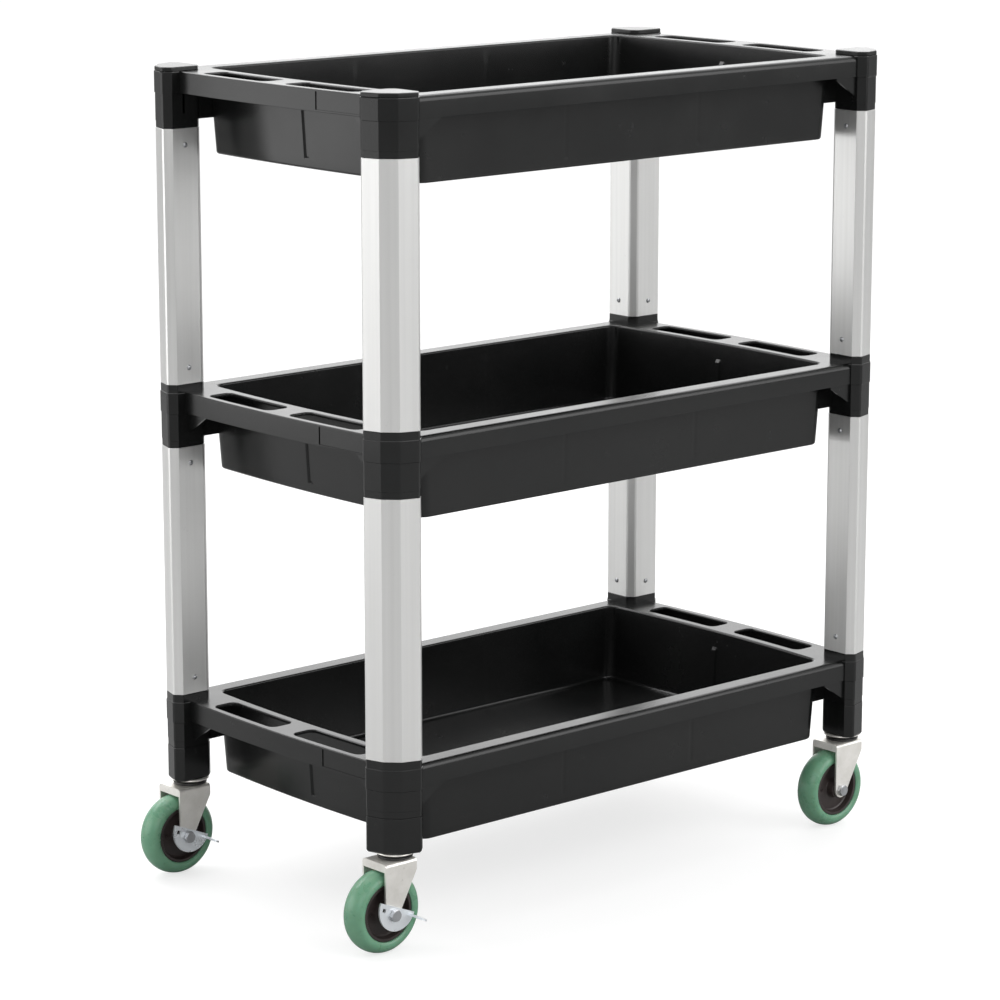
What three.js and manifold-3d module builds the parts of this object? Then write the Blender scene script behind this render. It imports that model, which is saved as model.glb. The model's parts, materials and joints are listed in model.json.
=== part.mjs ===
// Rolling utility cart: three deep moulded trays on four aluminium corner posts, with four swivel
// casters, two of them braked. Millimetres, +Z up, +X along the length. The origin is on the floor
// under the middle of the whole cart. "Front" is -Y, "left" is -X.
import * as THREE from 'three';
import Module from 'manifold-3d';

const wasm = await Module();
wasm.setup();

// ---------------------------------------------------------------- driving dimensions
const postPitchX = 757;          // post centre to post centre along the length
const postPitchY = 401;          // and across the width
const shelfPitch = 389;          // rim to rim height between trays
const seatGap = 0.3;             // clearance between pieces that touch
const overrun = 1;               // how far cuts and joints run past the face they start from

// corner post outline: distance from the post centre to each pair of faces, by the angle between
// the face's outward normal and the outward diagonal of the cart
const apexReach = 25.3;          // 0 degrees, the narrow outermost facet
const facetAngle = 27.9;
const facetReach = 27.5;
const edgeAngle = 59;
const edgeReach = 34.2;
const cheekReach = 32.5;         // 90 degrees, so the post is twice this across its diagonal
const legReach = 22;             // 135 degrees, the flats that face along the cart's sides
const noseAngle = 157.5;
const noseReach = 25;
const innerReach = 25.3;         // 180 degrees, the narrow innermost facet
const shortestFace = 0.3;        // narrower faces are dropped when the outline moves inwards
const uprightWall = 2;
const pegWall = 3;
const pegLength = 22;

// tray
const rimOverX = 10.5;           // rim face beyond the post centres, at the ends
const rimOverY = 23;             // and at the long sides
const rimBow = 9;                // how far each end bulges at its middle
const rimHeight = 26;
const rimRound = 7;              // rounding along the top of the long sides
const rimCornerRadius = 2;
const plateThickness = 3.5;
const skirtWall = 3;
const collarRise = 9.5;          // socket above the rim, where an upright stands on it
const socketDrop = 68;           // socket below the rim
const footSocketDrop = 58.5;     // shorter on the lowest tray
const beltProud = 0.8;           // the rim's band round each socket
const tubInsetX = 42;            // post centres to the tub opening at the ends
const tubInsetY = 5.5;           // and at the long sides
const tubBow = 7;
const tubDepth = 104;
const tubWall = 3;
const tubCornerRadius = 15;
const tubFloorRound = 4;         // where the walls meet the floor, inside
const tubBaseRound = 3;          // and outside
const tubDraftX = 7;
const tubDraftY = 3;
const wallRibX = 108;            // vertical grooves divide the long walls into three panels
const wallRibWidth = 6;
const wallRibDepth = 0.8;
const endGrooveWidth = 6;
const endGrooveDepth = 1.6;
const grooveFoot = 12;           // underside of the tub to the foot of every groove
const grooveReach = 9;           // how far a groove's cutter stands out of the wall
const slotWidth = 33;
const slotStart = 18.5;          // middle of the cart's width to the near end of each slot
const slotLength = 123;
const slotEdge = 9.5;            // rim face to slot
const slotRadius = 9;
const gussetLength = 38;
const gussetDrop = 27;
const gussetWall = 3;
const gussetSetback = 2;
const socketJoint = 4;           // how far gussets and webs run into a socket
const webDrop = 59.5;
const webShort = 2;              // the web ends at least this far above the socket's foot
const webWall = 4;
const webInsetY = 12;
const webJoint = 8;              // how far a web runs into the tub
const panelStart = 37;           // plain recessed panel in the rim's end face, from the post centre
const panelLength = 75.5;
const panelHeight = 21;
const panelRecess = 0.8;
const capThickness = 5.5;
const capEdge = 1.2;
const capPlug = 12;

// caster
const wheelRadius = 50.8;
const wheelWidth = 32;
const treadThickness = 15.5;
const hubWidth = 26;
const hubWebWidth = 12;
const hubBossRadius = 12;
const hubBossGap = 1.5;          // boss to fork
const hubRimWall = 5;
const treadLip = [4, 1.8];       // the side's lift over this width beside the hub
const treadShoulder = [          // points below the rolling radius, each with its place in from the side
  [5.4, 2.4],
  [1.4, 8],
  [0, 13.5],
];
const wheelSideGap = 3;          // wheel side to fork
const casterTrail = 22;
const crownGap = 7.9;            // wheel top to fork crown
const crownWall = 3;
const sideWall = 2.5;
const crownFront = 15;           // crown ahead of the swivel axis
const frontDrop = 14;            // how far the fork's front edges stay upright
const legRound = 10;             // rounded lower end of each fork leg
const lipDrop = 6.8;             // down-turned lip at the fork's trailing edge
const raceHeight = 5.2;
const raceRadius = 21;
const raceEdge = 1;
const discWall = 2.7;
const discRadius = 24;
const kingpinRadius = 7;
const kingpinHeadRadius = 10;
const kingpinHeadHeight = 4.6;
const kingpinHeadEdge = 1.5;
const stemRadius = 6;
const stemLength = 40;
const footHeight = 43.7;
const footSpigot = 30;
const footChamfer = 2;
const axleRadius = 4;
const bushWall = 2;
const boltHeadWidth = 13;
const boltHeadHeight = 5.3;
const nutHeight = 7;
const boltEnd = 1.6;             // thread showing past the nut
const brakeWall = 2.5;
const brakeRadius = 27;
const brakeDepth = 25.4;         // straight edge to lowest point of the half-moon plate
const brakeTilt = 22.9;          // degrees the straight edge slopes down towards the front
const brakeRise = 5;             // middle of the straight edge above the axle
const brakeLead = 4.4;           // and ahead of it
const pedalReach = 26;
const pedalWidth = 9;

// ---------------------------------------------------------------- derived levels
const postX = postPitchX / 2;
const postY = postPitchY / 2;
const rimX = postX + rimOverX;
const rimY = postY + rimOverY;
const tubX = postX - tubInsetX;
const tubY = postY - tubInsetY;
const pegInset = uprightWall + seatGap;
const boreInset = pegInset + pegWall;
const plugInset = boreInset + seatGap;
const crownBottom = 2 * wheelRadius + crownGap;
const crownTop = crownBottom + crownWall;
const discBottom = crownTop + seatGap + raceHeight + seatGap;
const footBottom = discBottom + discWall + seatGap;
const footTop = footBottom + footHeight;
const lowestRim = footTop + footSocketDrop;
const middleRim = lowestRim + shelfPitch;
const topRim = middleRim + shelfPitch;
const hubRadius = wheelRadius - treadThickness - seatGap;
const sideInner = wheelWidth / 2 + wheelSideGap;
const sideOuter = sideInner + sideWall;
const corners = {
  front_left: [-1, -1],
  front_right: [1, -1],
  back_right: [1, 1],
  back_left: [-1, 1],
};

// ---------------------------------------------------------------- colours
const paint = (color, roughness, metalness) => () => {
  return new THREE.MeshStandardMaterial({ color, roughness, metalness });
};
const blackPlastic = paint(0x1c1c1d, 0.5, 0);
const aluminium = paint(0xc9cac8, 0.38, 0.9);
const zinc = paint(0xcfccc2, 0.3, 0.9);
const brightZinc = paint(0xc4ccd2, 0.25, 0.95);
const greenTread = paint(0x5f9c78, 0.5, 0);
const darkHub = paint(0x2b2422, 0.5, 0);
const steel = paint(0x9a9a98, 0.3, 0.9);
const darkRace = paint(0x242424, 0.6, 0.2);

// ---------------------------------------------------------------- solids
function toSolid(geometry) {
  return new wasm.Manifold(new wasm.Mesh({
    numProp: 3,
    vertProperties: new Float32Array(geometry.attributes.position.array),
    triVerts: new Uint32Array(geometry.index.array),
  }));
}

function toGeometry(solid) {
  const mesh = solid.getMesh();
  return indexed(mesh.vertProperties, mesh.triVerts);
}

function indexed(positions, triangles) {
  const geometry = new THREE.BufferGeometry();
  geometry.setAttribute('position', new THREE.BufferAttribute(new Float32Array(positions), 3));
  geometry.setIndex(new THREE.BufferAttribute(new Uint32Array(triangles), 1));
  geometry.computeVertexNormals();
  return geometry;
}

const joined = (solids) => solids.reduce((all, next) => all.add(next));
const without = (solid, cuts) => cuts.reduce((left, cut) => left.subtract(cut), solid);

// Skins a stack of matching anticlockwise outlines, each a list of [x, y], at rising heights.
function loft(levels) {
  const count = levels[0].outline.length;
  const positions = levels.flatMap(({ outline, z }) => outline.flatMap(([x, y]) => [x, y, z]));
  const triangles = [];
  for (let level = 0; level < levels.length - 1; level += 1) {
    for (let i = 0; i < count; i += 1) {
      const a = level * count + i;
      const b = level * count + ((i + 1) % count);
      triangles.push(a, b, b + count, a, b + count, a + count);
    }
  }
  const last = (levels.length - 1) * count;
  const flat = (outline) => outline.map(([x, y]) => new THREE.Vector2(x, y));
  for (const [a, b, c] of THREE.ShapeUtils.triangulateShape(flat(levels[0].outline), [])) {
    triangles.push(a, c, b);
  }
  for (const [a, b, c] of THREE.ShapeUtils.triangulateShape(flat(levels.at(-1).outline), [])) {
    triangles.push(last + a, last + b, last + c);
  }
  return indexed(positions, triangles);
}

const prism = (outline, low, high) => loft([{ outline, z: low }, { outline, z: high }]);

function block(x0, x1, y0, y1, z0, z1) {
  return prism([[x0, y0], [x1, y0], [x1, y1], [x0, y1]], z0, z1);
}

// A prism whose anticlockwise outline is given as [x, z], between two values of y.
function plate(outline, y0, y1) {
  const across = new THREE.Matrix4().makeBasis(
    new THREE.Vector3(1, 0, 0),
    new THREE.Vector3(0, 0, 1),
    new THREE.Vector3(0, -1, 0),
  );
  return prism(outline, -y1, -y0).applyMatrix4(across);
}

// A prism whose anticlockwise outline is given as [y, z], between two values of x.
function bar(outline, x0, x1) {
  const along = new THREE.Matrix4().makeBasis(
    new THREE.Vector3(0, 1, 0),
    new THREE.Vector3(0, 0, 1),
    new THREE.Vector3(1, 0, 0),
  );
  return prism(outline, x0, x1).applyMatrix4(along);
}

// Turns a section about the Z axis. The profile is a list of [radius, z] with the solid on its
// left; a section that never touches the axis closes on itself.
function turned(profile, segments) {
  const positions = [];
  const rows = profile.map(([radius, z]) => {
    const start = positions.length / 3;
    const steps = radius === 0 ? 1 : segments;
    for (let i = 0; i < steps; i += 1) {
      const angle = (2 * Math.PI * i) / segments;
      positions.push(radius * Math.cos(angle), radius * Math.sin(angle), z);
    }
    return { start, steps };
  });
  const triangles = [];
  const closed = profile.every(([radius]) => radius > 0);
  const spans = closed ? rows.length : rows.length - 1;
  for (let row = 0; row < spans; row += 1) {
    const low = rows[row];
    const high = rows[(row + 1) % rows.length];
    for (let i = 0; i < segments; i += 1) {
      const next = (i + 1) % segments;
      const a = low.start + (i % low.steps);
      const b = low.start + (next % low.steps);
      const c = high.start + (next % high.steps);
      const d = high.start + (i % high.steps);
      if (a !== b) triangles.push(a, b, c);
      if (c !== d) triangles.push(a, c, d);
    }
  }
  return indexed(positions, triangles);
}

const cylinder = (radius, low, high, segments) => {
  return turned([[0, low], [radius, low], [radius, high], [0, high]], segments);
};

// Lays a turned piece along Y, with the start of its turning straight down.
const alongY = (geometry) => geometry.rotateZ(-Math.PI / 2).rotateX(-Math.PI / 2).rotateY(Math.PI);

function arc(cx, cy, radius, from, to, steps) {
  const points = [];
  for (let i = 0; i <= steps; i += 1) {
    const angle = THREE.MathUtils.degToRad(from + ((to - from) * i) / steps);
    points.push([cx + radius * Math.cos(angle), cy + radius * Math.sin(angle)]);
  }
  return points;
}

function mirrored(geometry, [sx, sy]) {
  const copy = geometry.clone().scale(sx, sy, 1);
  if (sx * sy < 0) {
    const index = copy.index;
    for (let i = 0; i < index.count; i += 3) {
      const kept = index.getX(i);
      index.setX(i, index.getX(i + 1));
      index.setX(i + 1, kept);
    }
  }
  return copy;
}

// ---------------------------------------------------------------- post outline
const sideFaces = [
  [facetAngle, facetReach],
  [edgeAngle, edgeReach],
  [90, cheekReach],
  [135, legReach],
  [noseAngle, noseReach],
];
const postFaces = [
  [0, apexReach],
  ...sideFaces,
  [180, innerReach],
  ...sideFaces.map(([angle, reach]) => [360 - angle, reach]).reverse(),
];

function crossing([angleA, reachA], [angleB, reachB]) {
  const a = THREE.MathUtils.degToRad(angleA);
  const b = THREE.MathUtils.degToRad(angleB);
  const turn = Math.sin(b - a);
  return [
    (reachA * Math.sin(b) - reachB * Math.sin(a)) / turn,
    (reachB * Math.cos(a) - reachA * Math.cos(b)) / turn,
  ];
}

// The outline of the post nearest a corner of the cart, moved inwards; faces that the move uses
// up are dropped.
function postOutline([sx, sy], inset) {
  const diagonal = THREE.MathUtils.radToDeg(Math.atan2(sy, sx));
  let faces = postFaces.map(([angle, reach]) => [angle + diagonal, reach - inset]);
  for (;;) {
    const points = faces.map((face, i) => crossing(face, faces[(i + 1) % faces.length]));
    const gone = faces.findIndex(([angle], i) => {
      const [x0, y0] = points[(i + points.length - 1) % points.length];
      const [x1, y1] = points[i];
      const tangent = THREE.MathUtils.degToRad(angle + 90);
      return (x1 - x0) * Math.cos(tangent) + (y1 - y0) * Math.sin(tangent) < shortestFace;
    });
    if (gone < 0) return points.map(([x, y]) => [x + sx * postX, y + sy * postY]);
    faces = faces.filter((face, i) => i !== gone);
  }
}

// ---------------------------------------------------------------- tray
// A rectangle with round corners whose two ends bulge outwards.
function bowedOutline(halfX, halfY, bow, radius, endSteps = 6) {
  const corner = (cx, cy, from) => arc(cx, cy, radius, from, from + 90, radius < 5 ? 1 : 4);
  const flatY = halfY - radius;
  const end = (side) => {
    const points = [];
    for (let i = 1; i < endSteps; i += 1) {
      const y = flatY * ((2 * i) / endSteps - 1);
      points.push([side * (halfX + bow * (1 - (y / flatY) ** 2)), side * y]);
    }
    return points;
  };
  return [
    ...corner(halfX - radius, -flatY, -90),
    ...end(1),
    ...corner(halfX - radius, flatY, 0),
    ...corner(-halfX + radius, flatY, 90),
    ...end(-1),
    ...corner(-halfX + radius, -flatY, 180),
  ];
}

const rimOutline = (inset) => bowedOutline(rimX - inset, rimY - inset, rimBow, rimCornerRadius);

function rimSolid() {
  const section = [
    [-rimY, -rimHeight],
    [rimY, -rimHeight],
    ...arc(rimY - rimRound, -rimRound, rimRound, 0, 90, 3),
    ...arc(-rimY + rimRound, -rimRound, rimRound, 90, 180, 3),
  ];
  const slab = toSolid(bar(section, -2 * rimX, 2 * rimX));
  const body = slab.intersect(toSolid(prism(rimOutline(0), -2 * rimHeight, rimHeight)));
  return body.subtract(toSolid(prism(rimOutline(skirtWall), -2 * rimHeight, -plateThickness)));
}

// The tub's outside or, with the wall taken off, its inside, down to a depth below the rim.
function tubSolid(wall, depth, radius, top) {
  const level = (z, round) => {
    const drafted = -z / tubDepth;
    const halfX = tubX + wall - tubDraftX * drafted - round;
    const halfY = tubY + wall - tubDraftY * drafted - round;
    return { z, outline: bowedOutline(halfX, halfY, tubBow, tubCornerRadius - round) };
  };
  const eased = [90, 45].map((degrees) => {
    const angle = THREE.MathUtils.degToRad(degrees);
    const round = radius * (1 - Math.cos(angle));
    return level(-depth + radius * (1 - Math.sin(angle)), round);
  });
  return toSolid(loft([...eased, level(-depth + radius, 0), level(top, 0)]));
}

// How far the rim's end face lies beyond its corners, at a distance from the middle.
const bowAt = (y) => rimBow * (1 - (y / rimY) ** 2);

// A handle slot: its long sides follow the bow of the rim, and its corners are round.
function slotOutline() {
  const low = slotStart;
  const high = slotStart + slotLength;
  const half = slotWidth / 2;
  const middle = (y) => rimX + bowAt(y) - slotEdge - half;
  const side = (offset, from, to) => [0, 1, 2].map((i) => {
    const y = from + ((to - from) * i) / 2;
    return [middle(y) + offset, y];
  });
  const round = (x, y, from) => arc(x, y, slotRadius, from, from + 90, 3).slice(1, -1);
  const inset = half - slotRadius;
  const nearY = low + slotRadius;
  const farY = high - slotRadius;
  return [
    ...side(half, nearY, farY),
    ...round(middle(farY) + inset, farY, 0),
    [middle(farY) + inset, high],
    [middle(farY) - inset, high],
    ...round(middle(farY) - inset, farY, 90),
    ...side(-half, farY, nearY),
    ...round(middle(nearY) - inset, nearY, 180),
    [middle(nearY) - inset, low],
    [middle(nearY) + inset, low],
    ...round(middle(nearY) + inset, nearY, 270),
  ];
}

const everyCorner = (build) => Object.values(corners).map(build);

function socketSolid(corner, low, high, pegLow, pegHigh) {
  const column = prism(postOutline(corner, 0), low, high);
  const belt = prism(postOutline(corner, -beltProud), -rimHeight, Math.min(0, high));
  const peg = prism(postOutline(corner, pegInset), low - pegLow, high + pegHigh);
  return joined([column, belt, peg].map(toSolid));
}

function gussets([sx, sy]) {
  const top = -rimHeight + overrun;
  const bottom = -rimHeight - gussetDrop;
  const start = legReach - socketJoint;
  const end = start + gussetLength;
  const outline = [[start, bottom], [end, -rimHeight], [end, top], [start, top]];
  const sideY = postY + rimOverY - gussetSetback;
  const alongSide = plate(outline, 0, gussetWall).scale(-1, -1, 1).translate(postX, sideY, 0);
  const endX = postX + rimOverX - gussetSetback;
  const alongEnd = bar(outline, 0, gussetWall).scale(-1, -1, 1).translate(endX, postY, 0);
  return [alongSide, alongEnd].map((piece) => toSolid(mirrored(piece, [sx, sy])));
}

function web([sx, sy], socketLow) {
  const y = postY - webInsetY;
  const low = -Math.min(webDrop, socketLow - webShort);
  const [from, to] = [tubX - webJoint, postX - legReach + socketJoint];
  const piece = block(from, to, y - webWall / 2, y + webWall / 2, low, -overrun);
  return toSolid(mirrored(piece, [sx, sy]));
}

// The section of a groove down a sloping wall; reachAt gives the groove's bottom at a level.
function grooveSection(reachAt) {
  const low = -tubDepth + grooveFoot;
  const high = -rimHeight - overrun;
  return [
    [reachAt(low), low],
    [reachAt(low) + grooveReach, low],
    [reachAt(high) + grooveReach, high],
    [reachAt(high), high],
  ];
}

function wallGroove(sx, sy) {
  const section = grooveSection((z) => tubY + tubWall + (tubDraftY * z) / tubDepth - wallRibDepth);
  const cut = bar(section, wallRibX - wallRibWidth / 2, wallRibX + wallRibWidth / 2);
  return toSolid(mirrored(cut, [sx, sy]));
}

function endGroove(sx) {
  const face = tubX + tubWall + tubBow - endGrooveDepth;
  const section = grooveSection((z) => face + (tubDraftX * z) / tubDepth);
  return toSolid(mirrored(plate(section, -endGrooveWidth / 2, endGrooveWidth / 2), [sx, 1]));
}

function panelRecessCut() {
  const from = -postY + panelStart;
  const middle = -rimHeight / 2;
  const low = middle - panelHeight / 2;
  const high = middle + panelHeight / 2;
  const region = toSolid(block(-2 * rimX, 0, from, from + panelLength, low, high));
  return region.subtract(toSolid(prism(rimOutline(panelRecess), -2 * rimHeight, rimHeight)));
}

function tray(level, socketLow, socketHigh, pegLow, pegHigh) {
  const body = joined([
    rimSolid(),
    tubSolid(tubWall, tubDepth, tubBaseRound, -plateThickness / 2),
    ...everyCorner((corner) => socketSolid(corner, -socketLow, socketHigh, pegLow, pegHigh)),
    ...everyCorner(gussets).flat(),
    ...everyCorner((corner) => web(corner, socketLow)),
  ]);
  const slot = prism(slotOutline(), -rimHeight, rimHeight);
  const bottom = -socketLow - pegLow - overrun;
  const cuts = [
    tubSolid(0, tubDepth - tubWall, tubFloorRound, rimHeight),
    ...everyCorner((corner) => toSolid(mirrored(slot, corner))),
    ...everyCorner((corner) => toSolid(prism(postOutline(corner, boreInset), bottom, 2 * rimHeight))),
    ...everyCorner(([sx, sy]) => wallGroove(sx, sy)),
    endGroove(1),
    endGroove(-1),
    panelRecessCut(),
  ];
  return toGeometry(without(body, cuts)).translate(0, 0, level);
}

// ---------------------------------------------------------------- posts, caps and feet
function uprightPiece(corner, low, high) {
  const outside = toSolid(prism(postOutline(corner, 0), low, high));
  const inside = prism(postOutline(corner, uprightWall), low - overrun, high + overrun);
  return toGeometry(outside.subtract(toSolid(inside)));
}

function capPiece(corner) {
  const high = topRim + capThickness;
  const lid = loft([
    { outline: postOutline(corner, 0), z: topRim + seatGap },
    { outline: postOutline(corner, 0), z: high - capEdge },
    { outline: postOutline(corner, capEdge), z: high },
  ]);
  const plug = prism(postOutline(corner, plugInset), topRim - capPlug, topRim + overrun);
  return toGeometry(toSolid(lid).add(toSolid(plug)));
}

function footPiece([sx, sy]) {
  const body = loft([
    { outline: postOutline([sx, sy], footChamfer), z: footBottom },
    { outline: postOutline([sx, sy], 0), z: footBottom + footChamfer },
    { outline: postOutline([sx, sy], 0), z: footTop - seatGap },
  ]);
  const spigot = prism(postOutline([sx, sy], plugInset), footTop - overrun, footTop + footSpigot);
  const boreTop = footBottom + stemLength + overrun;
  const bore = cylinder(stemRadius + seatGap, footBottom - overrun, boreTop, 16);
  bore.translate(sx * postX, sy * postY, 0);
  return toGeometry(toSolid(body).add(toSolid(spigot)).subtract(toSolid(bore)));
}

// ---------------------------------------------------------------- caster, about its swivel axis
function kingpin() {
  const headTop = crownBottom - seatGap;
  return turned([
    [0, headTop - kingpinHeadHeight],
    [kingpinHeadRadius - kingpinHeadEdge, headTop - kingpinHeadHeight],
    [kingpinHeadRadius, headTop - kingpinHeadHeight + kingpinHeadEdge],
    [kingpinHeadRadius, headTop],
    [kingpinRadius, headTop],
    [kingpinRadius, discBottom],
    [discRadius, discBottom],
    [discRadius, footBottom - seatGap],
    [stemRadius, footBottom - seatGap],
    [stemRadius, footBottom + stemLength],
    [0, footBottom + stemLength],
  ], 16);
}

function race() {
  const low = crownTop + seatGap;
  return turned([
    [kingpinRadius + seatGap, low],
    [raceRadius - raceEdge, low],
    [raceRadius, low + raceEdge],
    [raceRadius, low + raceHeight - raceEdge],
    [raceRadius - raceEdge, low + raceHeight],
    [kingpinRadius + seatGap, low + raceHeight],
  ], 20);
}

const axle = [-casterTrail, wheelRadius];
const acrossAxle = (geometry) => alongY(geometry).translate(axle[0], 0, axle[1]);

function forkPiece() {
  const rear = axle[0] - legRound;
  const crown = toSolid(block(rear, crownFront, -sideOuter, sideOuter, crownBottom, crownTop));
  // the front edge runs from its upright part down to the round end, touching it tangentially
  const knee = [crownFront, crownTop - frontDrop];
  const reach = Math.hypot(knee[0] - axle[0], knee[1] - axle[1]);
  const bearing = THREE.MathUtils.radToDeg(Math.atan2(knee[1] - axle[1], knee[0] - axle[0]));
  const touch = bearing - THREE.MathUtils.radToDeg(Math.acos(legRound / reach));
  const leg = [
    ...arc(axle[0], axle[1], legRound, -180, touch, 8),
    knee,
    [crownFront, crownTop],
    [rear, crownTop],
  ];
  const sides = [plate(leg, -sideOuter, -sideInner), plate(leg, sideInner, sideOuter)].map(toSolid);
  const lipLow = crownBottom - lipDrop;
  const lip = toSolid(block(rear, rear + sideWall, -sideOuter, sideOuter, lipLow, crownTop));
  const holes = [
    cylinder(kingpinRadius + seatGap, crownBottom - overrun, crownTop + overrun, 16),
    acrossAxle(cylinder(axleRadius + seatGap, -sideOuter - overrun, sideOuter + overrun, 16)),
  ];
  return toGeometry(without(joined([crown, ...sides, lip]), holes.map(toSolid)));
}

// Bolt head on the front side; a brake plate between head and fork needs the longer bolt.
function boltPiece(packing) {
  const headInner = sideOuter + packing + seatGap;
  const end = sideOuter + seatGap + nutHeight + boltEnd;
  const head = cylinder(boltHeadWidth / Math.sqrt(3), -headInner - boltHeadHeight, -headInner, 6);
  const shank = cylinder(axleRadius, -headInner - overrun, end, 16);
  return acrossAxle(toGeometry(toSolid(head).add(toSolid(shank))));
}

function nutPiece() {
  const low = sideOuter + seatGap;
  const body = cylinder(boltHeadWidth / Math.sqrt(3), low, low + nutHeight, 6);
  const hole = cylinder(axleRadius + seatGap, low - overrun, low + nutHeight + overrun, 16);
  return acrossAxle(toGeometry(toSolid(body).subtract(toSolid(hole))));
}

function bushPiece() {
  const half = sideInner - seatGap;
  const bore = axleRadius + seatGap;
  const outer = bore + bushWall;
  return acrossAxle(turned([[bore, -half], [outer, -half], [outer, half], [bore, half]], 16));
}

function hubPiece() {
  const bore = axleRadius + bushWall + 2 * seatGap;
  const boss = sideInner - hubBossGap;
  const rim = hubRadius - hubRimWall;
  const side = [
    [bore, boss],
    [hubBossRadius, boss],
    [hubBossRadius, hubWebWidth / 2],
    [rim, hubWebWidth / 2],
    [rim, hubWidth / 2],
    [hubRadius, hubWidth / 2],
  ];
  const lower = side.map(([radius, y]) => [radius, -y]);
  return acrossAxle(turned([...lower, ...side.reverse()], 24));
}

function treadPiece() {
  const inner = wheelRadius - treadThickness;
  const half = wheelWidth / 2;
  const [lipWidth, lipLift] = treadLip;
  const side = [
    [inner, half - lipLift],
    [inner + lipWidth, half],
    ...treadShoulder.map(([below, inwards]) => [wheelRadius - below, half - inwards]),
  ];
  const lower = side.map(([radius, y]) => [radius, -y]);
  return acrossAxle(turned([...lower, ...side.reverse()], 36));
}

// The half-moon brake plate with its foot tab, beside the fork on the front side.
function brakePiece() {
  const near = sideOuter + seatGap;
  const far = near + brakeWall;
  const lift = brakeRadius - brakeDepth;
  const open = THREE.MathUtils.radToDeg(Math.asin(lift / brakeRadius));
  const moon = arc(0, lift, brakeRadius, -180 - open, open, 16);
  const tip = moon.at(-1)[0];
  const tab = [[tip - pedalWidth, -brakeWall], [tip, -brakeWall], [tip, 0], [tip - pedalWidth, 0]];
  const pedal = toSolid(plate(tab, -far - pedalReach, -far + overrun));
  const body = toSolid(plate(moon, -far, -near)).add(pedal);
  const placed = toGeometry(body).rotateY(THREE.MathUtils.degToRad(brakeTilt));
  placed.translate(axle[0] + brakeLead, 0, axle[1] + brakeRise);
  const hole = acrossAxle(cylinder(axleRadius + seatGap, -far - overrun, -near + overrun, 16));
  return toGeometry(toSolid(placed).subtract(toSolid(hole)));
}

// ---------------------------------------------------------------- assembly
const cart = new THREE.Group();
cart.name = 'rolling_utility_cart';

function place(name, geometry, material) {
  const mesh = new THREE.Mesh(geometry, material());
  mesh.name = name;
  mesh.material.name = `${name}_surface`;
  cart.add(mesh);
}

place('tray_bottom', tray(lowestRim, footSocketDrop, collarRise, 0, pegLength), blackPlastic);
place('tray_middle', tray(middleRim, socketDrop, collarRise, pegLength, pegLength), blackPlastic);
place('tray_top', tray(topRim, socketDrop, 0, pegLength, 0), blackPlastic);

for (const [name, corner] of Object.entries(corners)) {
  const lowerFrom = lowestRim + collarRise + seatGap;
  const lowerTo = middleRim - socketDrop - seatGap;
  const upperFrom = middleRim + collarRise + seatGap;
  const upperTo = topRim - socketDrop - seatGap;
  place(`upright_lower_${name}`, uprightPiece(corner, lowerFrom, lowerTo), aluminium);
  place(`upright_upper_${name}`, uprightPiece(corner, upperFrom, upperTo), aluminium);
  place(`cap_${name}`, capPiece(corner), blackPlastic);
  place(`foot_${name}`, footPiece(corner), blackPlastic);

  const braked = corner[0] < 0;
  const moved = (geometry) => geometry.translate(corner[0] * postX, corner[1] * postY, 0);
  place(`kingpin_${name}`, moved(kingpin()), zinc);
  place(`race_${name}`, moved(race()), darkRace);
  place(`fork_${name}`, moved(forkPiece()), zinc);
  place(`axle_bolt_${name}`, moved(boltPiece(braked ? seatGap + brakeWall : 0)), steel);
  place(`axle_nut_${name}`, moved(nutPiece()), steel);
  place(`bush_${name}`, moved(bushPiece()), steel);
  place(`hub_${name}`, moved(hubPiece()), darkHub);
  place(`tread_${name}`, moved(treadPiece()), greenTread);
  if (braked) place(`brake_${name}`, moved(brakePiece()), brightZinc);
}

// the origin goes under the middle of the whole outline
const bounds = new THREE.Box3().setFromObject(cart);
for (const mesh of cart.children) {
  mesh.geometry.translate(-(bounds.min.x + bounds.max.x) / 2, -(bounds.min.y + bounds.max.y) / 2, 0);
}

export default cart;
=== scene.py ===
"""Looks of the rolling utility cart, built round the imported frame.

The cart's lengths are in millimetres until a mesh is made, where MM turns them into metres. Bump
distances, the lights and the camera are in metres. "Front" is -Y and "left" is -X, as in the frame.
"""

import json
import math

import bmesh
import bpy
from mathutils import Matrix, Vector


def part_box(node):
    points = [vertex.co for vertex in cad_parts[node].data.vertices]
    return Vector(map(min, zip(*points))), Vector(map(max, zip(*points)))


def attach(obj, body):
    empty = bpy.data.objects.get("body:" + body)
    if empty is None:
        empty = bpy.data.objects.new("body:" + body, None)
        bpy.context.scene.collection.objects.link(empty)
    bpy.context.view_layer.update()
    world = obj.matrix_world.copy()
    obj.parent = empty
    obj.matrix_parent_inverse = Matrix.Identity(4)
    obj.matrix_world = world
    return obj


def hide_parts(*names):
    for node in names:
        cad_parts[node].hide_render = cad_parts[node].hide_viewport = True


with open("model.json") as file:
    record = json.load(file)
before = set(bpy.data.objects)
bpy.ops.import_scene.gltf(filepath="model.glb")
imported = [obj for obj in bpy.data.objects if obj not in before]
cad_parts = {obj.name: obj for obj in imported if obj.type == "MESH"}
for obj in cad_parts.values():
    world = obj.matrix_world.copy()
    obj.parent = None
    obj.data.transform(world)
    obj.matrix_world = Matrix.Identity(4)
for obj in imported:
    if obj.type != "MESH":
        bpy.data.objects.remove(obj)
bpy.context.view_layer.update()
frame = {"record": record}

MM = 0.001
FULL_TURN = 2 * math.pi
record = frame["record"]
joint_places = {j["name"]: Vector(j["pos_m"]) / MM for j in record["behaviour"]["joints"]}
floors = {m["name"]: Vector(m["pos_m"]) / MM for m in record["mounts"]}
CORNERS = {
    "front_left": (-1, -1),
    "front_right": (1, -1),
    "back_right": (1, 1),
    "back_left": (-1, 1),
}
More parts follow.
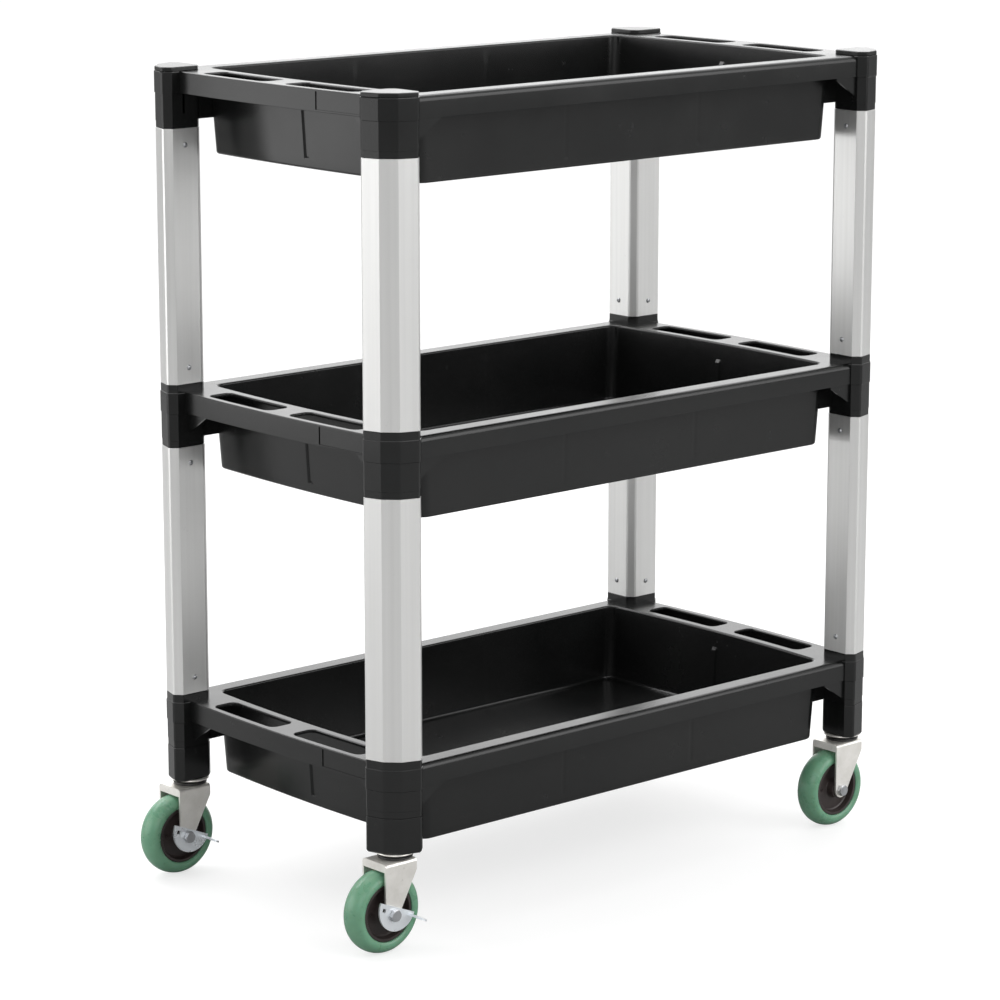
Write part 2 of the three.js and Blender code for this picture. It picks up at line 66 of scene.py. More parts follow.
TRAYS = ("bottom", "middle", "top")

# ------------------------------------------------------------------ driving sizes
# places from the frame
POSTS = {name: joint_places[f"swivel_{name}"] for name in CORNERS}
AXLES = {name: joint_places[f"spin_{name}"] for name in CORNERS}
CENTRE = floors["tray_floor_top"].copy()
POST_X = (POSTS["front_right"].x - POSTS["front_left"].x) / 2
POST_Y = (POSTS["back_left"].y - POSTS["front_left"].y) / 2
TUB_DEPTH = 104
WALL = 3
RIMS = {tray: floors[f"tray_floor_{tray}"].z + TUB_DEPTH - WALL for tray in TRAYS}
SEAT_GAP = 0.3

# post outline: angle from the outward diagonal, distance from the post centre
POST_FACES = ((0, 25.3), (27.9, 27.5), (59, 34.2), (90, 32.5), (135, 22), (157.5, 25), (180, 25.3))
POST_EDGE = 1.3
LEAST_POST_EDGE = 0.4
UPRIGHT_WALL = 2

# tray
RIM_X = POST_X + 10.5
RIM_Y = POST_Y + 23
RIM_BOW = 9
RIM_HEIGHT = 26
RIM_CORNER = 6
LEAST_CORNER = 2
SIDE_ROUND = 7
END_ROUND = 1.4
PLATE = 3.5
TUB_X = POST_X - 42
TUB_Y = POST_Y - 5.5
TUB_BOW = 7
TUB_CORNER = 15
TUB_LIP = 2.5
FLOOR_ROUND = 4
BASE_ROUND = 3
DRAFT_X = 7
DRAFT_Y = 3
RIB_X = 108
RIB_HALF = 3
RIB_STEP = 0.8
RIB_SLOPE = 1.2
GROOVE_HALF = 3.3
GROOVE_STEP = 2.2
GROOVE_SLOPE = 1.5
COLLAR = 9.5
SOCKET_DROP = 68
FOOT_SOCKET_DROP = 58.5
BELT = 0.8
SLOT_WIDTH = 33
SLOT_START = 18.5
SLOT_LENGTH = 123
SLOT_EDGE = 9.5
SLOT_RADIUS = 9
SLOT_LIP = 2
GUSSET_LENGTH = 38
GUSSET_DROP = 27
SIDE_GUSSET_OUT = 21
END_GUSSET_OUT = 8.5
BRACE_START = 18
PANEL_START = 37
PANEL_LENGTH = 75.5
PANEL_HEIGHT = 21
PANEL_RECESS = 1.2
WEB_DROP = 59.5
WEB_INSET = 12
WEB_HALF = 2
JOINT = 2
CUTTER_CLEAR = 4

# screws
SCREW_FROM_END = 20
SCREW_ASIDE = 6

# caster
WHEEL = 50.8
WHEEL_HALF = 16
TREAD_INNER = 35.3
CROWN_BOTTOM = 109.5
CROWN_TOP = 112.5
FORK_INNER = 19
FORK_OUTER = 21.5
LEG_ROUND = 10
CROWN_FRONT = 15
FRONT_DROP = 14
LIP_DROP = 6.8
KINGPIN_HOLE = 7.3
DISC_BOTTOM = 118.3
AXLE = 4
HEX = 13
HEAD_HEIGHT = 5.3
NUT_HEIGHT = 7
BUTTON_OUT = 20
BORE_HALF = 40
BRAKE_WALL = 2.5
BRAKE_RADIUS = 27
BRAKE_DEPTH = 25.4
BRAKE_TILT = 22.9
BRAKE_RISE = 5
BRAKE_LEAD = 4.4
PEDAL_REACH = 26
PEDAL_WIDTH = 9
PEDAL_ROUND = 2
WINDOW_X = (-21.5, -17)
WINDOW_Z = (-6.4, -2.2)


# ------------------------------------------------------------------ materials
# a colour Mix node's sockets by place, because its other kinds share their names
MIX_FIRST, MIX_SECOND, MIX_RESULT = 6, 7, 2
EVEN = (1, 1, 1)


def group_sockets(group, inputs, outputs):
    """Adds the float inputs, with their defaults, and the outputs to a node group."""
    for name, value in inputs.items():
        socket = group.interface.new_socket(name, in_out="INPUT", socket_type="NodeSocketFloat")
        socket.default_value = value
    for name in outputs:
        group.interface.new_socket(name, in_out="OUTPUT", socket_type="NodeSocketFloat")
    return group.nodes.new("NodeGroupInput"), group.nodes.new("NodeGroupOutput")


def math_node(nodes, operation, *values):
    node = nodes.new("ShaderNodeMath")
    node.operation = operation
    tree = node.id_data
    for i, value in enumerate(values):
        if isinstance(value, (int, float)):
            node.inputs[i].default_value = value
        else:
            tree.links.new(value, node.inputs[i])
    return node.outputs[0]


def set_range(node, start, end, low, high):
    """Makes a Map Range node turn start to end into low to high."""
    sockets = {"From Min": start, "From Max": end, "To Min": low, "To Max": high}
    for socket, number in sockets.items():
        node.inputs[socket].default_value = number


def stretched_noise(tree, stretch, scale, detail, roughness=0.55):
    """Noise over the object's own coordinates, squeezed by a scale for each axis."""
    place = tree.nodes.new("ShaderNodeTexCoord")
    squeeze = tree.nodes.new("ShaderNodeMapping")
    squeeze.inputs["Scale"].default_value = stretch
    noise = tree.nodes.new("ShaderNodeTexNoise")
    noise.inputs["Detail"].default_value = detail
    noise.inputs["Roughness"].default_value = roughness
    tree.links.new(place.outputs["Object"], squeeze.inputs["Vector"])
    tree.links.new(squeeze.outputs["Vector"], noise.inputs["Vector"])
    tree.links.new(scale, noise.inputs["Scale"])
    return noise.outputs["Fac"]


def moulded_grain():
    """Fine pebbled grain of moulded plastic, with a slow change in sheen over the surface."""
    group = bpy.data.node_groups.new("moulded_grain", "ShaderNodeTree")
    defaults = {"Grain Scale": 900.0, "Sheen Scale": 7.0}
    given, made = group_sockets(group, defaults, ("Height", "Sheen"))
    fine = stretched_noise(group, EVEN, given.outputs["Grain Scale"], 2.0)
    slow = stretched_noise(group, EVEN, given.outputs["Sheen Scale"], 5.0, 0.6)
    group.links.new(fine, made.inputs["Height"])
    group.links.new(slow, made.inputs["Sheen"])
    return group


def drawn_grain():
    """Long fine lines along Z, as an extrusion has, with broader bands between them."""
    group = bpy.data.node_groups.new("drawn_grain", "ShaderNodeTree")
    given, made = group_sockets(group, {"Line Scale": 1.0}, ("Height", "Band"))
    scale = given.outputs["Line Scale"]
    fine = stretched_noise(group, (1200, 1200, 6), scale, 3.0)
    broad = stretched_noise(group, (140, 140, 1.5), scale, 2.0)
    group.links.new(fine, made.inputs["Height"])
    group.links.new(broad, made.inputs["Band"])
    return group


def handling_marks():
    """Sparse scuffs and rubbed spots: a mask that is zero over most of the surface."""
    group = bpy.data.node_groups.new("handling_marks", "ShaderNodeTree")
    given, made = group_sockets(group, {"Mark Scale": 30.0, "Amount": 0.5}, ("Mask",))
    spots = stretched_noise(group, EVEN, given.outputs["Mark Scale"], 8.0, 0.7)
    threshold = math_node(group.nodes, "SUBTRACT", 1.0, given.outputs["Amount"])
    raised = math_node(group.nodes, "SUBTRACT", spots, threshold)
    contrast = 6.0
    mask = math_node(group.nodes, "MULTIPLY", raised, contrast)
    mask.node.use_clamp = True
    group.links.new(mask, made.inputs["Mask"])
    return group


GROUPS = {build.__name__: build() for build in (moulded_grain, drawn_grain, handling_marks)}


class Finish:
    """One material under construction: a Principled surface and the shared groups that feed it."""

    def __init__(self, name, **constants):
        self.material = bpy.data.materials.new(name)
        self.material.use_nodes = True
        self.tree = self.material.node_tree
        self.surface = self.tree.nodes["Principled BSDF"]
        for socket, value in constants.items():
            self.surface.inputs[socket.replace("_", " ")].default_value = value

    def group(self, name, **values):
        node = self.tree.nodes.new("ShaderNodeGroup")
        node.node_tree = GROUPS[name]
        for socket, value in values.items():
            node.inputs[socket.replace("_", " ")].default_value = value
        return node.outputs

    def ramp(self, value, low, high, start=0.3, end=0.7):
        """A number that runs from low to high as value runs from start to end."""
        node = self.tree.nodes.new("ShaderNodeMapRange")
        set_range(node, start, end, low, high)
        self.tree.links.new(value, node.inputs["Value"])
        return node.outputs["Result"]

    def blend(self, share, first, second):
        """A colour between two, each a colour or another blend's output."""
        node = self.tree.nodes.new("ShaderNodeMix")
        node.data_type = "RGBA"
        self.tree.links.new(share, node.inputs["Factor"])
        for place, colour in ((MIX_FIRST, first), (MIX_SECOND, second)):
            if isinstance(colour, tuple):
                node.inputs[place].default_value = (*colour, 1)
            else:
                self.tree.links.new(colour, node.inputs[place])
        return node.outputs[MIX_RESULT]

    def tones(self, value, first, second):
        """A colour that drifts between two tones as value does."""
        return self.blend(self.ramp(value, 0, 1), first, second)

    def add(self, first, second):
        return math_node(self.tree.nodes, "ADD", first, second)

    def feed(self, socket, output):
        self.tree.links.new(output, self.surface.inputs[socket])

    def bump(self, height, distance, strength):
        node = self.tree.nodes.new("ShaderNodeBump")
        node.inputs["Distance"].default_value = distance
        node.inputs["Strength"].default_value = strength
        self.tree.links.new(height, node.inputs["Height"])
        self.feed("Normal", node.outputs["Normal"])


def black_plastic():
    finish = Finish("black_plastic", IOR=1.42)
    grain = finish.group("moulded_grain", Grain_Scale=850, Sheen_Scale=6)
    marks = finish.group("handling_marks", Mark_Scale=45, Amount=0.36)
    body = finish.tones(grain["Sheen"], (0.0052, 0.0056, 0.0056), (0.0085, 0.0088, 0.0086))
    finish.feed("Base Color", finish.blend(marks["Mask"], body, (0.016, 0.016, 0.016)))
    gloss = finish.ramp(grain["Sheen"], 0.2, 0.28)
    finish.feed("Roughness", finish.add(gloss, finish.ramp(marks["Mask"], 0, 0.14, 0, 1)))
    finish.bump(grain["Height"], 0.0002, 0.3)
    return finish.material


def post_aluminium():
    finish = Finish("post_aluminium", Metallic=0.72)
    grain = finish.group("drawn_grain")
    marks = finish.group("handling_marks", Mark_Scale=60, Amount=0.34)
    body = finish.tones(grain["Band"], (0.69, 0.69, 0.68), (0.74, 0.74, 0.73))
    finish.feed("Base Color", finish.blend(marks["Mask"], body, (0.58, 0.58, 0.57)))
    finish.feed("Roughness", finish.ramp(grain["Height"], 0.32, 0.42))
    finish.bump(grain["Height"], 0.00003, 0.4)
    return finish.material


def zinc_plate(name, dull, bright, roughness, metallic=0.75):
    """Plated steel: patches of brighter and duller zinc under a thin clear passivation."""
    finish = Finish(name, Metallic=metallic)
    grain = finish.group("moulded_grain", Grain_Scale=500, Sheen_Scale=60)
    marks = finish.group("handling_marks", Mark_Scale=160, Amount=0.4)
    body = finish.tones(grain["Sheen"], dull, bright)
    worn_share = 0.72
    worn = tuple(worn_share * tone for tone in dull)
    finish.feed("Base Color", finish.blend(marks["Mask"], body, worn))
    patchiness = 0.12
    finish.feed("Roughness", finish.ramp(grain["Sheen"], roughness, roughness + patchiness))
    finish.bump(grain["Height"], 0.00006, 0.4)
    return finish.material


def green_tread():
    finish = Finish("green_tread", Subsurface_Weight=0.12, Subsurface_Scale=0.004, IOR=1.48)
    grain = finish.group("moulded_grain", Grain_Scale=700, Sheen_Scale=40)
    marks = finish.group("handling_marks", Mark_Scale=110, Amount=0.4)
    body = finish.tones(grain["Sheen"], (0.115, 0.27, 0.165), (0.15, 0.33, 0.21))
    finish.feed("Base Color", finish.blend(marks["Mask"], body, (0.08, 0.17, 0.11)))
    finish.feed("Roughness", finish.ramp(grain["Sheen"], 0.24, 0.36))
    finish.bump(grain["Height"], 0.00015, 0.35)
    return finish.material


def dark_hub():
    finish = Finish("dark_hub", IOR=1.5)
    grain = finish.group("moulded_grain", Grain_Scale=600, Sheen_Scale=50)
    body = finish.tones(grain["Sheen"], (0.022, 0.016, 0.015), (0.04, 0.029, 0.027))
    finish.feed("Base Color", body)
    finish.feed("Roughness", finish.ramp(grain["Sheen"], 0.38, 0.52))
    finish.bump(grain["Height"], 0.0002, 0.4)
    return finish.material


def oiled_steel():
    finish = Finish("oiled_steel", Metallic=0.6)
    grain = finish.group("moulded_grain", Grain_Scale=500, Sheen_Scale=90)
    body = finish.tones(grain["Sheen"], (0.02, 0.02, 0.021), (0.06, 0.058, 0.055))
    finish.feed("Base Color", body)
    finish.feed("Roughness", finish.ramp(grain["Sheen"], 0.3, 0.5))
    finish.bump(grain["Height"], 0.0001, 0.4)
    return finish.material


def studio_floor():
    """A white floor to the camera, darker to the light that bounces off it onto the cart."""
    finish = Finish("studio_floor", Specular_IOR_Level=0.2)
    grain = finish.group("moulded_grain", Grain_Scale=60, Sheen_Scale=0.8)
    shown = finish.tones(grain["Sheen"], (0.34, 0.34, 0.34), (0.37, 0.37, 0.37))
    seen = finish.tree.nodes.new("ShaderNodeLightPath").outputs["Is Camera Ray"]
    finish.feed("Base Color", finish.blend(seen, (0.42, 0.42, 0.42), shown))
    finish.surface.inputs["Emission Color"].default_value = (1, 1, 1, 1)
    finish.feed("Emission Strength", finish.ramp(seen, 0, 0.68, 0, 1))
    finish.feed("Roughness", finish.ramp(grain["Sheen"], 0.7, 0.85))
    return finish.material


FINISHES = {
    "black_plastic": black_plastic(),
    "post_aluminium": post_aluminium(),
    "zinc_steel": zinc_plate("zinc_steel", (0.82, 0.8, 0.75), (0.93, 0.91, 0.87), 0.3),
    "bright_steel": zinc_plate("bright_steel", (0.88, 0.92, 0.96), (0.93, 0.97, 1.0), 0.24),
    "fastener_steel": zinc_plate(
        "fastener_steel", (0.36, 0.37, 0.38), (0.5, 0.51, 0.53), 0.26, metallic=0.9
    ),
    "dark_race": oiled_steel(),
    "green_tread": green_tread(),
    "dark_hub": dark_hub(),
}


# ------------------------------------------------------------------ mesh making
def tidy(mesh, crease):
    """Faces turned outwards and smooth, with edges sharper than the crease angle kept crisp."""
    same_place = 1e-6
    edit = bmesh.new()
    edit.from_mesh(mesh)
    bmesh.ops.remove_doubles(edit, verts=edit.verts, dist=same_place)
    bmesh.ops.dissolve_degenerate(edit, edges=edit.edges, dist=same_place)
    bmesh.ops.recalc_face_normals(edit, faces=edit.faces)
    limit = math.radians(crease)
    for face in edit.faces:
        face.smooth = True
    for edge in edit.edges:
        edge.smooth = len(edge.link_faces) == 2 and edge.calc_face_angle(0) < limit
    edit.to_mesh(mesh)
    edit.free()


def solid(name, points, faces, crease=32):
    """A new piece from points and faces."""
    mesh = bpy.data.meshes.new(name)
    mesh.from_pydata([Vector(point) * MM for point in points], [], faces)
    tidy(mesh, crease)
    piece = bpy.data.objects.new(name, mesh)
    bpy.context.scene.collection.objects.link(piece)
    return piece


def skin(rings, joined=False):
    """Points and faces over a stack of rings, capped at both ends or joined round to the start."""
    count = len(rings[0])
    points = [point for ring in rings for point in ring]
    faces = []
    spans = len(rings) if joined else len(rings) - 1
    for span in range(spans):
        low = span * count
        high = (span + 1) % len(rings) * count
        for i in range(count):
            j = (i + 1) % count
            faces.append((low + i, low + j, high + j, high + i))
    if not joined:
        faces.append(tuple(reversed(range(count))))
        faces.append(tuple(range(len(points) - count, len(points))))
    return points, faces


def prism(name, outline, low, high):
    """An upright prism over an outline of (x, y) pairs."""
    return solid(name, *skin([[(x, y, z) for x, y in outline] for z in (low, high)]))


def circle(radius, height, count):
    angles = [FULL_TURN * i / count for i in range(count)]
    return [(radius * math.cos(a), radius * math.sin(a), height) for a in angles]


def turned(name, profile, count, closed=False, crease=32):
    """A turned piece about Z from (radius, height) pairs; a closed profile makes a ring."""
    rings = [circle(radius, height, count) for radius, height in profile]
    return solid(name, *skin(rings, closed), crease)


def applied(piece):
    """Bakes a piece's modifiers into its mesh."""
    bpy.context.view_layer.update()
    graph = bpy.context.evaluated_depsgraph_get()
    mesh = bpy.data.meshes.new_from_object(piece.evaluated_get(graph))
    piece.modifiers.clear()
    piece.data = mesh


def combined(piece, others, operation):
    """Cuts the others out of a piece, joins them to it, or keeps only what they share."""
    for other in others:
        step = piece.modifiers.new("step", "BOOLEAN")
        step.operation = operation
        step.solver = "EXACT"
        step.object = other
    applied(piece)
    for other in others:
        bpy.data.objects.remove(other)
    return piece


def eased(piece, width):
    """Rounds a piece's sharp edges, then sets its shading."""
    edge = piece.modifiers.new("eased", "BEVEL")
    edge.width = width * MM
    edge.segments = 2
    edge.limit_method = "ANGLE"
    edge.angle_limit = math.radians(30)
    applied(piece)
    tidy(piece.data, 40)


def moved(piece, matrix):
    """Moves, turns or mirrors a piece's mesh."""
    piece.data.transform(matrix)
    if matrix.determinant() < 0:
        piece.data.flip_normals()
    return piece


def shift(x, y, z):
    return Matrix.Translation(Vector((x, y, z)) * MM)


def mirror(sx, sy):
    return Matrix.Diagonal((sx, sy, 1, 1))


def copied(piece, name):
    twin = bpy.data.objects.new(name, piece.data.copy())
    bpy.context.scene.collection.objects.link(twin)
    return twin


def fitted(piece, body, slot, *nodes, finish=None):
    """Sets a piece's material and the body it rides on, and hides the imported nodes it stands for.

    Its wide flats set the shading at its rounded edges, so the flats look flat.
    """
    flats = piece.modifiers.new("flats", "WEIGHTED_NORMAL")
    flats.keep_sharp = True
    piece.data.materials.clear()
    piece.data.materials.append(FINISHES[finish or slot])
    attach(piece, body)
    if nodes:
        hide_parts(*nodes)


def arc(cx, cy, radius, start, end, steps):
    """Points along an arc, with its angles in degrees."""
    angles = [math.radians(start + (end - start) * i / steps) for i in range(steps + 1)]
    return [(cx + radius * math.cos(a), cy + radius * math.sin(a)) for a in angles]


# ------------------------------------------------------------------ post outline
def rounded(points, radius, steps=3):
    """A convex outline with each corner turned into an arc."""
    outline = []
    for i, point in enumerate(points):
        corner = Vector(point)
        before = (Vector(points[i - 1]) - corner).normalized()
        after = (Vector(points[(i + 1) % len(points)]) - corner).normalized()
        half = before.angle(after) / 2
        centre = corner + (before + after).normalized() * radius / math.sin(half)
        first = corner + before * radius / math.tan(half) - centre
        last = corner + after * radius / math.tan(half) - centre
        turn = first.angle_signed(last)
        for step in range(steps + 1):
            spoke = first.copy()
            spoke.rotate(Matrix.Rotation(-turn * step / steps, 2))
            outline.append(tuple(centre + spoke))
    return outline


def post_outline(corner, inset, radius):
    """The post's outline at a corner of the cart, moved inwards and with round edges."""
    diagonal = math.degrees(math.atan2(corner[1], corner[0]))
    mirrored = [(360 - angle, reach) for angle, reach in POST_FACES[-2:0:-1]]
    faces = [
        (math.radians(angle + diagonal), reach - inset)
        for angle, reach in (*POST_FACES, *mirrored)
    ]
    points = []
    for i, (a, reach_a) in enumerate(faces):
        b, reach_b = faces[(i + 1) % len(faces)]
        turn = math.sin(b - a)
        x = (reach_a * math.sin(b) - reach_b * math.sin(a)) / turn
        y = (reach_b * math.cos(a) - reach_a * math.cos(b)) / turn
        points.append((x, y))
    return rounded(points, radius)


def post_rings(name, levels):
    """Rings of the post outline in place, from (height, inset) pairs."""
    corner = CORNERS[name]
    centre = POSTS[name]
    rings = []
    for height, inset in levels:
        outline = post_outline(corner, inset, max(POST_EDGE - inset, LEAST_POST_EDGE))
        rings.append([(x + centre.x, y + centre.y, height) for x, y in outline])
    return rings


# ------------------------------------------------------------------ tray
END_STATIONS = (-0.92, -0.75, -0.58, -0.42, -0.27, -0.13)
CORNER_STEPS = 8
ON_LINE = 0.1


def line_stations(half, slope):
    """Stations across a rib or groove line: both edges of its flat and the feet of its slopes."""
    return [sign * (half + out) for sign in (-1, 1) for out in (0, slope)]


def bowed_ring(half_x, half_y, bow, radius):
    """A rectangle with round corners and bulging ends, as (x, y, share, lined) stations.

    share is 1 on the ends, 0 on the long sides and between them in the corners; lined is true on
    the flat of a groove or rib line.
    """
    flat = half_y - radius
    fractions = [*END_STATIONS, *(-f for f in reversed(END_STATIONS))]
    end_y = sorted([*(f * flat for f in fractions), *line_stations(GROOVE_HALF, GROOVE_SLOPE)])
    rib = line_stations(RIB_HALF, RIB_SLOPE)
    side_x = sorted(sign * RIB_X + station for sign in (-1, 1) for station in rib)
    ring = []

    def corner(cx, cy, start):
        for i, (x, y) in enumerate(arc(cx, cy, radius, start, start + 90, CORNER_STEPS)):
            share = i / CORNER_STEPS
            ring.append((x, y, share if start in (-90, 90) else 1 - share, False))

    def end(sign):
        for y in end_y:
            x = half_x + bow * (1 - (y / flat) ** 2)
            ring.append((sign * x, sign * y, 1, abs(y) <= GROOVE_HALF + ON_LINE))

    def side(sign):
        for x in side_x:
            lined = abs(abs(x) - RIB_X) <= RIB_HALF + ON_LINE
            ring.append((-sign * x, sign * half_y, 0, lined))

    corner(half_x - radius, -flat, -90)
    end(1)
    corner(half_x - radius, flat, 0)
    side(1)
    corner(-half_x + radius, flat, 90)
    end(-1)
    corner(-half_x + radius, -flat, 180)
    side(-1)
    return ring


def rim_ring(inset, side_z, end_z, side_inset=0, end_inset=0):
    """The rim's outline, with its height and a further inset on the long sides and on the ends."""
    corner = max(RIM_CORNER - inset, LEAST_CORNER)
    ring = []
    for x, y, share, _ in bowed_ring(RIM_X - inset, RIM_Y - inset, RIM_BOW, corner):
        pull = side_inset * (1 - share) + end_inset * share
        height = side_z * (1 - share) + end_z * share
        x -= math.copysign(pull * share, x)
        y -= math.copysign(pull * (1 - share), y)
        ring.append((x, y, height))
    return ring


def tub_ring(wall, height, round_in, relief):
    """The tub's outline at a height below the rim; relief is 1 where ribs and grooves show."""
    drafted = -height / TUB_DEPTH
    half_x = TUB_X + wall - DRAFT_X * drafted - round_in
    half_y = TUB_Y + wall - DRAFT_Y * drafted - round_in
    corner = max(TUB_CORNER - round_in, LEAST_CORNER)
    ring = []
    for x, y, share, lined in bowed_ring(half_x, half_y, TUB_BOW, corner):
        step = 0
        if lined:
            step = relief * (GROOVE_STEP if share == 1 else RIB_STEP)
        if share == 1:
            x -= math.copysign(step, x)
        else:
            y -= math.copysign(step, y)
        ring.append((x, y, height))
    return ring


def tray_shell():
    """Rim and tub of one tray about its own centre, with the rim's top at height 0."""
    quarter = [math.radians(angle) for angle in (0, 22.5, 45, 67.5, 90)]
    floor = -TUB_DEPTH + WALL
    floor_top = floor + FLOOR_ROUND
    rings = []
    # inside of the tub, from the floor up to the rim
    for angle in quarter:
        round_in = FLOOR_ROUND * (1 - math.sin(angle))
        rings.append(tub_ring(0, floor + FLOOR_ROUND * (1 - math.cos(angle)), round_in, 0))
    inside = ((floor_top + 2, 0), (floor_top + 5, 1), (-RIM_HEIGHT, 1), (-RIM_HEIGHT + 4, 0))
    rings += [tub_ring(0, height, 0, relief) for height, relief in inside]
    for angle in quarter:
        out = TUB_LIP * (1 - math.cos(angle))
        rings.append(tub_ring(out, -TUB_LIP * (1 - math.sin(angle)), 0, 0))
    # over the rim and down its skirt
    rings.append(rim_ring(SIDE_ROUND + 1, 0, 0))
    for angle in (math.radians(15 * step) for step in range(7)):
        out = 1 - math.sin(angle)
        down = 1 - math.cos(angle)
        heights = (-SIDE_ROUND * down, -END_ROUND * down)
        rings.append(rim_ring(0, *heights, SIDE_ROUND * out, END_ROUND * out))
    for inset, height in ((0, -RIM_HEIGHT + 0.8), (0.25, -RIM_HEIGHT + 0.2), (0.8, -RIM_HEIGHT)):
        rings.append(rim_ring(inset, height, height))
    # under the rim and down the outside of the tub
    rings.append(rim_ring(WALL, -RIM_HEIGHT, -RIM_HEIGHT))
    rings.append(rim_ring(WALL, -PLATE - 4, -PLATE))
    outside = (
        (-PLATE - 0.5, 0),
        (-RIM_HEIGHT, 0),
        (-RIM_HEIGHT - 2, 1),
        (-TUB_DEPTH + 14, 1),
        (-TUB_DEPTH + 12, 0),
    )
    rings += [tub_ring(WALL, height, 0, relief) for height, relief in outside]
    for angle in reversed(quarter):
        round_in = BASE_ROUND * (1 - math.sin(angle))
        rings.append(tub_ring(WALL, -TUB_DEPTH + BASE_ROUND * (1 - math.cos(angle)), round_in, 0))
    return solid("tray_shell", *skin(rings), 27)


def bow_at(y):
    """How far the rim's end bulges at a place across the width."""
    return RIM_BOW * (1 - (y / RIM_Y) ** 2)


def slot_outline(grow):
    """A handle slot that follows the bow of the rim, grown all round."""
    half = SLOT_WIDTH / 2
    far = SLOT_START + SLOT_LENGTH - SLOT_RADIUS
    near = SLOT_START + SLOT_RADIUS
    radius = SLOT_RADIUS + grow

    def middle(y):
        return RIM_X + bow_at(y) - SLOT_EDGE - half

    def side(sign, start, end):
        steps = [start + (end - start) * i / 6 for i in range(7)]
        return [(middle(y) + sign * (half + grow), y) for y in steps[1:-1]]

    inner = half - SLOT_RADIUS
    return [
        *side(1, near, far),
        *arc(middle(far) + inner, far, radius, 0, 90, 6),
        *arc(middle(far) - inner, far, radius, 90, 180, 6),
        *side(-1, far, near),
        *arc(middle(near) - inner, near, radius, 180, 270, 6),
        *arc(middle(near) + inner, near, radius, 270, 360, 6),
    ]


def slot_cutter(corner):
    """The slot with a flared mouth, which leaves a round lip on the rim."""
    above = 3
    levels = [(above, SLOT_LIP)]
    for angle in (0, 30, 60, 90):
        turn = math.radians(angle)
        levels.append((-SLOT_LIP * (1 - math.cos(turn)), SLOT_LIP * (1 - math.sin(turn))))
    levels.append((-RIM_HEIGHT, 0))
    rings = [[(x, y, z) for x, y in slot_outline(grow)] for z, grow in levels]
    return moved(solid("slot_cutter", *skin(rings)), mirror(*corner))


def panel_cutter():
    """The shallow plain panel in the rim's left end face, beside the front post."""
    start = -POST_Y + PANEL_START
    steps = [start + PANEL_LENGTH * i / 8 for i in range(9)]

    def face(y):
        return -(RIM_X + bow_at(y))

    outline = [(face(y) + PANEL_RECESS, y) for y in steps]
    outline += [(face(y) - CUTTER_CLEAR, y) for y in reversed(steps)]
    middle = -RIM_HEIGHT / 2
    return prism("panel_cutter", outline, middle - PANEL_HEIGHT / 2, middle + PANEL_HEIGHT / 2)


def gusset(along_x):
    """A gusset about the post centre, running off along X or Y, with its level edge on top."""
    high = -RIM_HEIGHT
    end = BRACE_START + GUSSET_LENGTH
    outline = [
        (BRACE_START, high - GUSSET_DROP),
        (end, high - JOINT),
        (end, high + JOINT),
        (BRACE_START, high + JOINT),
    ]
    ring = [(along, 0, z) if along_x else (0, along, z) for along, z in outline]
    offset = (0, WALL, 0) if along_x else (WALL, 0, 0)
    other = [tuple(a + b for a, b in zip(point, offset)) for point in ring]
    return solid("gusset", *skin([ring, other]))


def braces(corner, socket_low):
    """Two gussets under the rim and the web between socket and tub, about the tray's centre."""
    made = []
    for along_x, out, flip in (
        (True, (0, SIDE_GUSSET_OUT - WALL, 0), mirror(-1, 1)),
        (False, (END_GUSSET_OUT - WALL, 0, 0), mirror(1, -1)),
    ):
        plate = moved(gusset(along_x), shift(*out))
        moved(plate, flip)
        made.append(moved(plate, shift(POST_X, POST_Y, 0)))
    web_low = -min(WEB_DROP, socket_low - JOINT)
    y = POST_Y - WEB_INSET
    near = TUB_X - WALL
    far = POST_X - BRACE_START
    outline = [(near, y - WEB_HALF), (far, y - WEB_HALF), (far, y + WEB_HALF), (near, y + WEB_HALF)]
    made.append(prism("web", outline, web_low, -JOINT))
    return [moved(piece, mirror(*corner)) for piece in made]


def socket_levels(low, collared):
    """Height and inset of a socket's outline, with the rim's belt standing a little proud.

    A collared socket goes on above the rim; the other one ends with its belt.
    """
    belt_low = -RIM_HEIGHT
    levels = [
        (-low, 0.7),
        (-low + 0.4, 0.45),
        (-low + 8, 0.4),
        (-low + 8.4, 0),
        (belt_low - 0.5, 0),
        (belt_low, -BELT + 0.2),
        (belt_low + 0.3, -BELT),
        (-1.2, -BELT),
        (-0.5, -BELT + 0.25),
    ]
    if collared:
        return [*levels, (0, 0), (COLLAR - 0.5, 0), (COLLAR, 0.5)]
    return [*levels, (0, -BELT + 0.5)]


def build_trays():
    shell = tray_shell()
    cutters = [slot_cutter(corner) for corner in CORNERS.values()]
    combined(shell, [*cutters, panel_cutter()], "DIFFERENCE")
    for tray in TRAYS:
        low = FOOT_SOCKET_DROP if tray == "bottom" else SOCKET_DROP
        rim = RIMS[tray]
        node = f"tray_{tray}"
        body = moved(copied(shell, f"{node}_body"), shift(CENTRE.x, CENTRE.y, rim))
        added = []
        for name, corner in CORNERS.items():
            levels = [(rim + z, inset) for z, inset in socket_levels(low, tray != "top")]
            added.append(solid("socket", *skin(post_rings(name, levels))))
            for brace in braces(corner, low):
                added.append(moved(brace, shift(CENTRE.x, CENTRE.y, rim)))
        combined(body, added, "UNION")
        tidy(body.data, 27)
        fitted(body, "cart", "black_plastic", node)
    bpy.data.objects.remove(shell)


